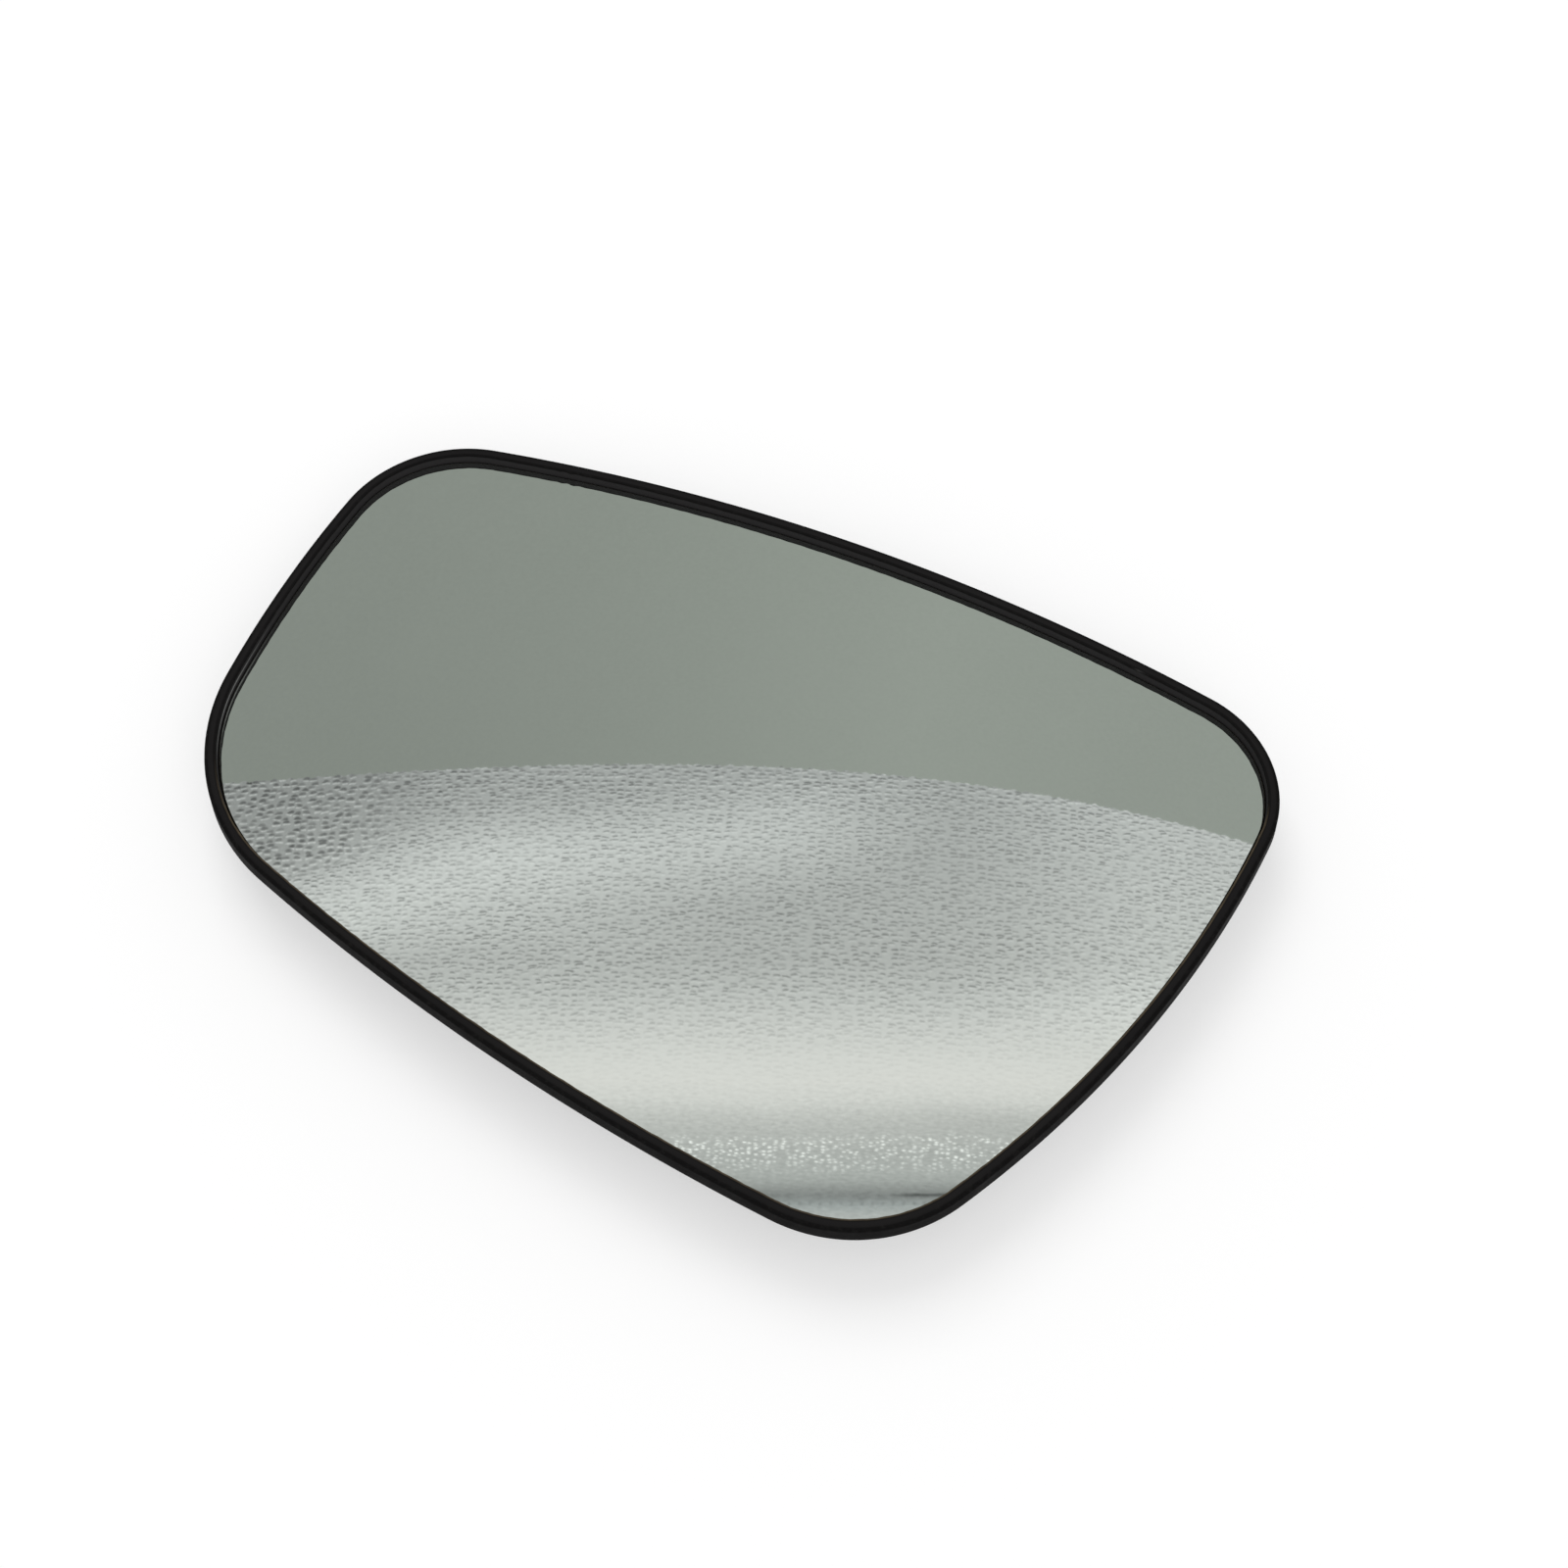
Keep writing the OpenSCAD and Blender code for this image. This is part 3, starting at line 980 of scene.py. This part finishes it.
def floor_white(nodes):
    """Pale floor: white where nothing shades it, keeps shadows and is clear from below."""
    path = nodes.add("ShaderNodeLightPath")
    away = nodes.vector("LENGTH", nodes.coords())
    lift = nodes.step(away, *FLOOR_GLOW_REACH) * FLOOR_GLOW_GAIN + FLOOR_GLOW
    strength = nodes.seen_by(path, "Is Camera Ray", "Is Glossy Ray") * lift
    diffuse = nodes.out(nodes.add("ShaderNodeBsdfDiffuse", Color=FLOOR_GREY))
    lit = nodes.join("ShaderNodeAddShader", diffuse, nodes.emission(WHITE, strength))
    below = nodes.out(nodes.add("ShaderNodeNewGeometry"), "Backfacing")
    passed = nodes.math("GREATER_THAN", nodes.out(path, "Transparent Depth"), 0.5)
    clear = nodes.out(nodes.add("ShaderNodeBsdfTransparent"))
    hidden = nodes.math("MAXIMUM", below, passed)
    return nodes.join("ShaderNodeMixShader", lit, clear, Fac=hidden)


bpy.ops.mesh.primitive_circle_add(vertices=96, radius=FLOOR_R, fill_type="NGON")
floor = bpy.context.object
floor.name = "floor"
floor.location.z = -FLOOR_DROP
floor.data.materials.append(new_material("floor_white", floor_white))


# ---- The room that the mirror reflects
# Its sheet hangs level above the part, and the sheet's straight edge lies beyond the far side.

# The sheet and the wall glow though they are no lamps: their light, shade and sparkle are painted
# Height of the sheet in metres, which is also the unit of its own coordinates: u runs along the
# edge that the mirror shows, and v towards it
SHEET_H = 0.80
SHEET_AZIMUTH = -26.5
SHEET_HALF = 2.0
SHEET_SHOWN = 0.72
SHEET_STEP = 0.0024
SHEET_ROWS = 4
# The edge's distance as a polynomial of u, then its scallops: height, radians per unit, start,
# how far and how slowly they wander
EDGE_CURVE = (0.588, 0.0159, -0.0993, -0.1177)
EDGE_SCALLOPS = [(0.0009, 598, 0.0, 1.5, 61), (0.0006, 367, 1.3, 0.0, 0)]

# The bands of light lie level in the picture, along v - u * (LEVEL_LEAN + LEVEL_BEND * u)
LEVEL_LEAN = 0.062
LEVEL_BEND = 0.09
# (level, brightness) and (level, tint) of the bands, from the bottom of the picture upwards
BAND_TONES = [
    (0.100, 0.585), (0.112, 0.465), (0.118, 0.372), (0.1235, 0.305), (0.129, 0.340),
    (0.137, 0.455), (0.146, 0.505), (0.162, 0.500), (0.180, 0.562), (0.197, 0.635),
    (0.215, 0.770), (0.235, 0.815), (0.255, 0.795), (0.295, 0.680), (0.337, 0.550),
    (0.360, 0.505), (0.440, 0.482), (0.520, 0.458), (0.600, 0.418),
]
BAND_TINTS = [
    (0.104, (0.985, 1.015, 0.990)), (0.115, (0.950, 1.022, 1.012)), (0.122, (0.970, 1.022, 1.000)),
    (0.130, (0.985, 1.025, 0.990)), (0.232, (1.020, 1.010, 0.970)), (0.320, (1.000, 1.016, 0.988)),
    (0.600, (0.993, 1.019, 1.005)),
]
# Painted patches of light and shade between the bands: name, brightness added, and the two masks
# whose product is the patch
SLANT = 0.22
PATCHES_OF_LIGHT = [
    ("crest", 0.155, ("slant", Nodes.hill, 0.505, 0.095), ("u", Nodes.step, 0.20, -0.02)),
    ("island", 0.083, ("u", Nodes.hill, -0.32, 0.23), ("v", Nodes.hill, 0.480, 0.075)),
    ("lower", 0.045, ("u", Nodes.step, -0.02, -0.16), ("level", Nodes.hill, 0.394, 0.070)),
    ("dim", -0.035, ("u", Nodes.step, 0.12, 0.24), ("level", Nodes.hill, 0.196, 0.028)),
    ("right", 0.12, ("u", Nodes.step, 0.14, 0.42), ("v", Nodes.step, 0.27, 0.36)),
    ("left", -0.10, ("u", Nodes.step, -0.22, -0.50), ("slant", Nodes.step, 0.505, 0.580)),
]

# Noise patterns of the sheet: cells per sheet height, detail and roughness
SHEET_SWELL = (7.0, 2.0, 0.5)
SHEET_UNEVEN = (24.0, 2.0, 0.5)
SHEET_MOTTLE = (260.0, 2.0, 0.6)
SPECK_CLUMPS = (40.0, 3.0, 0.6)
FOLD_SHADE_NOISE = (90.0, 3.0, 0.6)
STREAKS = (1.0, 2.0, 0.6)
STREAK_SCALE = (150.0, 460.0)
SPECK_SCALE = (165.0, 470.0)
EMBOSS_STIR = (0.55, 2.0, 0.6)
EMBOSS_STIR_REACH = 0.75
EMBOSS_RANDOM = 0.70

# Pitch of the creases and of the larger hollows, along and across the rows
CREASE_PITCH = (0.0094, 0.0053)
HOLLOW_PITCH = (0.0110, 0.0072)
# Form of one crease, in cells of its pattern: bow, then (least, range) of its tilt, half length
# and depth, then (middle, half width) of the crease's painted shade and of the painted highlight
# on the ridge below it
BOW = 0.60
TILT = (0.36, 0.65)
HALF_LENGTH = (0.38, 0.28)
DEPTH = (0.52, 0.65)
CREASE_LINE = (0.06, 0.38)
RIDGE_LINE = (-0.34, 0.32)
CREASE_ENDS = (1.0, 0.45)
CELL_BORDER = (0.0, 0.10)
# Half length and half width of a pit, and its soft border
PIT_RADII = (0.46, 0.50)
PIT_BORDER = (1.0, 0.1)
# Towards the sheet's edge pits replace some creases, and the ridges grow
PITTED_IN = (0.505, 0.575)
PITTED = 0.7
PIT_DARK = 0.62
CREASE_LOST = 0.55
RIDGE_GROWTH = 2.2
# At the narrow end larger hollows replace the creases
HOLLOWS_IN = (0.42, 0.90)
HOLLOW_DARK = 0.66
HOLLOW_LIP = 2.4
# Painted relief: where it sets in, its least depth, its range and the narrow end's gain, then the
# strength of its painted ridge highlights, crease shade and mottle, and what keeps its mean near 0
RELIEF_IN = (0.235, 0.345)
RELIEF_LEAST = 0.12
RELIEF_RANGE = 0.86
RELIEF_GAIN = 0.70
RIDGE_LIGHT = 0.19
CREASE_DARK = 0.52
MOTTLE = 0.26
EVENER = 0.074
EVENER_HOLLOWS = -0.048
# Swell of the bands, and where it sets in
SWELL = 0.016
SWELL_IN = (0.135, 0.190)
# Streaks: where they set in, their least strength and its range
STREAKS_IN = (0.25, 0.19)
STREAK_LEAST = 0.08
STREAK_RANGE = 0.48
# Specks of painted sparkle: soft border of a dot, chance of a dot, the band's two borders and the
# brightness
DOT_BORDER = (0.46, 0.12)
DOT_CHANCE = (0.12, 0.92)
SPECKS_IN = (0.139, 0.161)
SPECKS_OUT = (0.184, 0.172)
SPECK_LIGHT = 0.75
# Fold: (level, half width) of its painted shade, painted dark line and dotted strip, and how dark
# they are
FOLD_SHADE_AT = (0.1225, 0.0070)
FOLD_SHADE_DARK = 0.07
FOLD_AT = (0.1238, 0.0028)
FOLD_IN = (0.124, 0.148)
FOLD_LEAST = 0.01
FOLD_DARK = 0.15
BEADS_AT = (0.1160, 0.0030)
BEAD_PITCH = 0.0047
BEAD_R = 0.0026
BEAD_DARK = 0.09


def emboss(nodes, coords, pitch):
    """(painted shade of a crease, painted highlight of its ridge, painted shade of a rounder pit)
    of short, slightly bowed creases in uneven rows.
    """
    rows = nodes.scaled(coords, 1 / pitch[0], 1 / pitch[1])
    stir = nodes.noise(rows, EMBOSS_STIR, "Color")
    shift = nodes.vector("SCALE", stir, Scale=EMBOSS_STIR_REACH)
    spot = nodes.vector("ADD", rows, shift)
    pattern = {
        "voronoi_dimensions": "2D", "Vector": spot, "Scale": 1.0, "Randomness": EMBOSS_RANDOM,
    }
    cells = nodes.add("ShaderNodeTexVoronoi", **pattern)
    border = nodes.add("ShaderNodeTexVoronoi", feature="DISTANCE_TO_EDGE", **pattern)
    across, up, _ = nodes.split(nodes.vector("SUBTRACT", spot, nodes.out(cells, "Position")))
    deep, tilted, long = nodes.split(nodes.out(cells, "Color"))

    bow = across * BOW - (tilted - TILT[0]) * TILT[1]
    rise = up + across * bow
    length = long * HALF_LENGTH[1] + HALF_LENGTH[0]
    depth = deep * DEPTH[1] + DEPTH[0]
    inside = nodes.step(abs(across) / length, *CREASE_ENDS)
    inside = inside * nodes.step(nodes.out(border, "Distance"), *CELL_BORDER)
    crease = nodes.hill(rise, *CREASE_LINE) * inside * depth
    ridge = nodes.hill(rise, *RIDGE_LINE) * inside
    oval = (across / PIT_RADII[0]) ** 2.0 + (up / PIT_RADII[1]) ** 2.0
    pit = nodes.step(oval, *PIT_BORDER) * depth
    return crease, ridge, pit


def soft_light(nodes, places):
    """Brightness of the sheet before its relief, and the masks of its patches by name."""
    tone = nodes.ramp(places["level"], BAND_TONES)
    masks = {}
    for name, strength, *bounds in PATCHES_OF_LIGHT:
        first, second = [form(nodes, places[place], a, b) for place, form, a, b in bounds]
        masks[name] = first * second
        tone = tone + masks[name] * strength
    return tone, masks


def relief_of(nodes, coords, level, left):
    """Factor of the painted embossing: the painted shade of a dash with a painted highlight on the
    ridge below it, faint in grazing light.
    """
    crease, ridge, pit = emboss(nodes, coords, CREASE_PITCH)
    pitted = nodes.step(level, *PITTED_IN) * PITTED
    crease = crease + (pit * PIT_DARK - crease * CREASE_LOST) * pitted
    ridge = ridge * (pitted * RIDGE_GROWTH + 1.0)
    _, lip, hollow = emboss(nodes, coords, HOLLOW_PITCH)
    wide = nodes.step(left, *HOLLOWS_IN)
    crease = crease + (hollow * HOLLOW_DARK - crease) * wide
    ridge = ridge + (lip * HOLLOW_LIP - ridge) * wide

    uneven = nodes.ramp(nodes.noise(coords, SHEET_UNEVEN), [(0.3, 0.86), (0.7, 1.14)])
    depth = nodes.step(level, *RELIEF_IN) * RELIEF_RANGE + RELIEF_LEAST + left * RELIEF_GAIN
    mottle = (nodes.noise(coords, SHEET_MOTTLE) - 0.5) * MOTTLE
    evener = wide * EVENER_HOLLOWS + EVENER
    relief = ridge * RIDGE_LIGHT - crease * CREASE_DARK + mottle + evener
    return relief * (depth * uneven) + 1.0


def streaks_of(nodes, coords, level):
    """Factor of the fine level streaks of the glossy film, strongest in the lower bands."""
    streak = nodes.noise(nodes.scaled(coords, *STREAK_SCALE), STREAKS) - 0.5
    return streak * (nodes.step(level, *STREAKS_IN) * STREAK_RANGE + STREAK_LEAST) + 1.0


def specks_of(nodes, coords, level):
    """Brightness of the painted sparkle of specks in the bottom band."""
    place = nodes.scaled(coords, *SPECK_SCALE)
    cells = nodes.add("ShaderNodeTexVoronoi", voronoi_dimensions="2D", Vector=place, Scale=1.0)
    chance = nodes.split(nodes.out(cells, "Color"))[0]
    dots = nodes.step(nodes.out(cells, "Distance"), *DOT_BORDER)
    dots = dots * nodes.step(chance, *DOT_CHANCE)
    clumps = nodes.ramp(nodes.noise(coords, SPECK_CLUMPS), [(0.32, 0.50), (0.56, 1.0)])
    band = nodes.step(level, *SPECKS_IN) * nodes.step(level, *SPECKS_OUT)
    return dots * clumps * band * SPECK_LIGHT


def fold_of(nodes, coords, u, level):
    """What darkens the sheet below the specks: painted shade along the fold, its painted dark line
    and a dotted strip.
    """
    fold_shade = nodes.ramp(nodes.noise(coords, FOLD_SHADE_NOISE), [(0.35, 0.0), (0.65, FOLD_SHADE_DARK)])
    fold_shade = fold_shade * nodes.hill(level, *FOLD_SHADE_AT)
    line = nodes.hill(level, *FOLD_AT) * (nodes.step(u, *FOLD_IN) * FOLD_DARK + FOLD_LEAST)
    beads = nodes.hill(nodes.math("PINGPONG", u, BEAD_PITCH), 0.0, BEAD_R)
    beads = beads * nodes.hill(level, *BEADS_AT) * BEAD_DARK
    return fold_shade, line, beads


def sheet_pebbled(nodes):
    """Glowing sheet of foam wrap: painted bands of uneven soft light, painted shade and highlights
    of close-packed creases, painted sparkle and painted shade at its fold.
    """
    coords = nodes.scaled(nodes.coords(), 1 / SHEET_H, 1 / SHEET_H)
    u, v, _ = nodes.split(coords)
    level = v - u * (u * LEVEL_BEND + LEVEL_LEAN)
    swell = (nodes.noise(coords, SHEET_SWELL) - 0.5) * SWELL
    soft = level + swell * nodes.step(level, *SWELL_IN)
    places = {"u": u, "v": v, "slant": v - u * SLANT, "level": soft}

    tone, masks = soft_light(nodes, places)
    tone = tone * relief_of(nodes, coords, soft, masks["left"])
    tone = tone * streaks_of(nodes, coords, soft)
    tone = tone + specks_of(nodes, coords, soft)
    for shadow in fold_of(nodes, coords, u, level):
        tone = tone - shadow
    return nodes.emission(nodes.mix(1.0, tone, nodes.ramp(soft, BAND_TINTS), "MULTIPLY"))


def sheet_edge(u):
    """Distance of the sheet's gently curved, slightly scalloped edge, all in sheet heights."""
    edge = sum(factor * u ** power for power, factor in enumerate(EDGE_CURVE))
    for height, pitch, start, wander, slow in EDGE_SCALLOPS:
        edge += height * math.sin(u * pitch + start + wander * math.sin(u * slow))
    return edge


def only_reflected(obj):
    """Stage piece that shows in the mirror alone."""
    obj.visible_camera = False
    obj.visible_diffuse = False
    obj.visible_shadow = False
    obj.visible_transmission = False
    obj.visible_volume_scatter = False


def make_sheet():
    """Sheet in its own coordinates, finely divided where the mirror shows its edge."""
    bm = bmesh.new()
    count = round(2 * SHEET_SHOWN / SHEET_STEP)
    shown = [-SHEET_SHOWN + 2 * SHEET_SHOWN * k / count for k in range(count + 1)]
    grid = []
    for i in range(SHEET_ROWS + 1):
        line = []
        for u in [-SHEET_HALF, *shown, SHEET_HALF]:
            edge = sheet_edge(max(-SHEET_SHOWN, min(SHEET_SHOWN, u)))
            v = -SHEET_HALF + (edge + SHEET_HALF) * i / SHEET_ROWS
            line.append(bm.verts.new((u * SHEET_H, v * SHEET_H, 0)))
        grid.append(line)
    for low, high in zip(grid, grid[1:]):
        for k in range(len(low) - 1):
            bm.faces.new((low[k], low[k + 1], high[k + 1], high[k]))
    material = new_material("sheet_pebbled", sheet_pebbled)
    sheet = finish_mesh(bm, "reflected_sheet", material, smooth=False)
    sheet.location = (0, 0, SHEET_H)
    sheet.rotation_euler = (0, 0, -math.radians(SHEET_AZIMUTH))
    only_reflected(sheet)


WALL_R = 3.0
WALL_H = 8.0
WALL_SINK = 0.01
WALL_SPECKS = (60.0, 2.0, 0.7)
WALL_TONES = [
    (0.13, (0.288, 0.310, 0.281)), (0.45, (0.327, 0.352, 0.318)), (0.70, (0.362, 0.389, 0.352)),
    (1.0, (0.348, 0.374, 0.339)),
]


def wall_grey(nodes):
    """Glowing grey-green wall beyond the sheet, with painted light a little brighter to one side.
    """
    coords = nodes.coords()
    tone = nodes.ramp(nodes.split(coords)[0] / WALL_R + 1.0, WALL_TONES)
    specks = nodes.ramp(nodes.noise(coords, WALL_SPECKS), [(0.3, 0.975), (0.7, 1.025)])
    return nodes.emission(nodes.mix(1.0, tone, specks, "MULTIPLY"))


def make_wall():
    """Round wall of the room, closed at the top."""
    bpy.ops.mesh.primitive_cylinder_add(
        vertices=96, radius=WALL_R, depth=WALL_H, end_fill_type="TRIFAN")
    wall = bpy.context.object
    wall.name = "reflected_wall"
    wall.location = (0, 0, WALL_H / 2 - WALL_SINK)
    wall.data.materials.append(new_material("wall_grey", wall_grey))
    only_reflected(wall)


make_sheet()
make_wall()


# ---- Light and camera

WORLD_LIGHT = 0.62

CAMERA_AZIMUTH = 30.0
CAMERA_ELEVATION = 60.0
CAMERA_DISTANCE = 0.382
CAMERA_TARGET = Vector((13.267, 5.954, RIM_TOP_Z)) * MM
LENS_MM = 50.0
SENSOR_MM = 36.0
CLIP_START = 0.01
CLIP_END = 50.0


def area_light(name, location, size, power):
    """Square lamp that faces the origin and doesn't show in the mirror."""
    data = bpy.data.lights.new(name, "AREA")
    data.shape = "SQUARE"
    data.size = size
    data.energy = power
    lamp = bpy.data.objects.new(name, data)
    lamp.location = location
    lamp.rotation_mode = "QUATERNION"
    lamp.rotation_quaternion = (-Vector(location)).to_track_quat("-Z", "Y")
    lamp.visible_glossy = False
    bpy.context.scene.collection.objects.link(lamp)


def make_world():
    """Soft white light from all round, seen as plain white."""
    world = bpy.data.worlds.new("studio")
    bpy.context.scene.world = world
    world.use_nodes = True
    nodes = Nodes(world.node_tree)
    path = nodes.add("ShaderNodeLightPath")
    seen = nodes.seen_by(path, "Is Camera Ray", "Is Glossy Ray", "Is Transmission Ray")
    light, shown = [
        nodes.out(nodes.add("ShaderNodeBackground", Color=WHITE, Strength=strength))
        for strength in (WORLD_LIGHT, 1.0)
    ]
    surface = nodes.join("ShaderNodeMixShader", light, shown, Fac=seen)
    nodes.add("ShaderNodeOutputWorld", Surface=surface)


def make_camera():
    """Camera at the photo's angle, with the azimuth counted from -Y."""
    azimuth, elevation = math.radians(CAMERA_AZIMUTH), math.radians(CAMERA_ELEVATION)
    backward = Vector((
        math.sin(azimuth) * math.cos(elevation), -math.cos(azimuth) * math.cos(elevation),
        math.sin(elevation),
    ))
    sideways = Vector((math.cos(azimuth), math.sin(azimuth), 0))
    turn = Matrix((sideways, backward.cross(sideways), backward)).transposed().to_4x4()
    data = bpy.data.cameras.new("camera")
    data.lens = LENS_MM
    data.sensor_width = SENSOR_MM
    data.clip_start = CLIP_START
    data.clip_end = CLIP_END
    camera = bpy.data.objects.new("camera", data)
    camera.matrix_world = Matrix.Translation(CAMERA_TARGET + backward * CAMERA_DISTANCE) @ turn
    bpy.context.scene.collection.objects.link(camera)
    bpy.context.scene.camera = camera


area_light("key", (-0.9, 0.8, 1.6), 1.2, 12.0)
area_light("fill", (1.2, -1.0, 1.4), 1.6, 8.0)
make_world()
make_camera()
bpy.context.scene.view_settings.view_transform = "Standard"

bpy.context.view_layer.update()
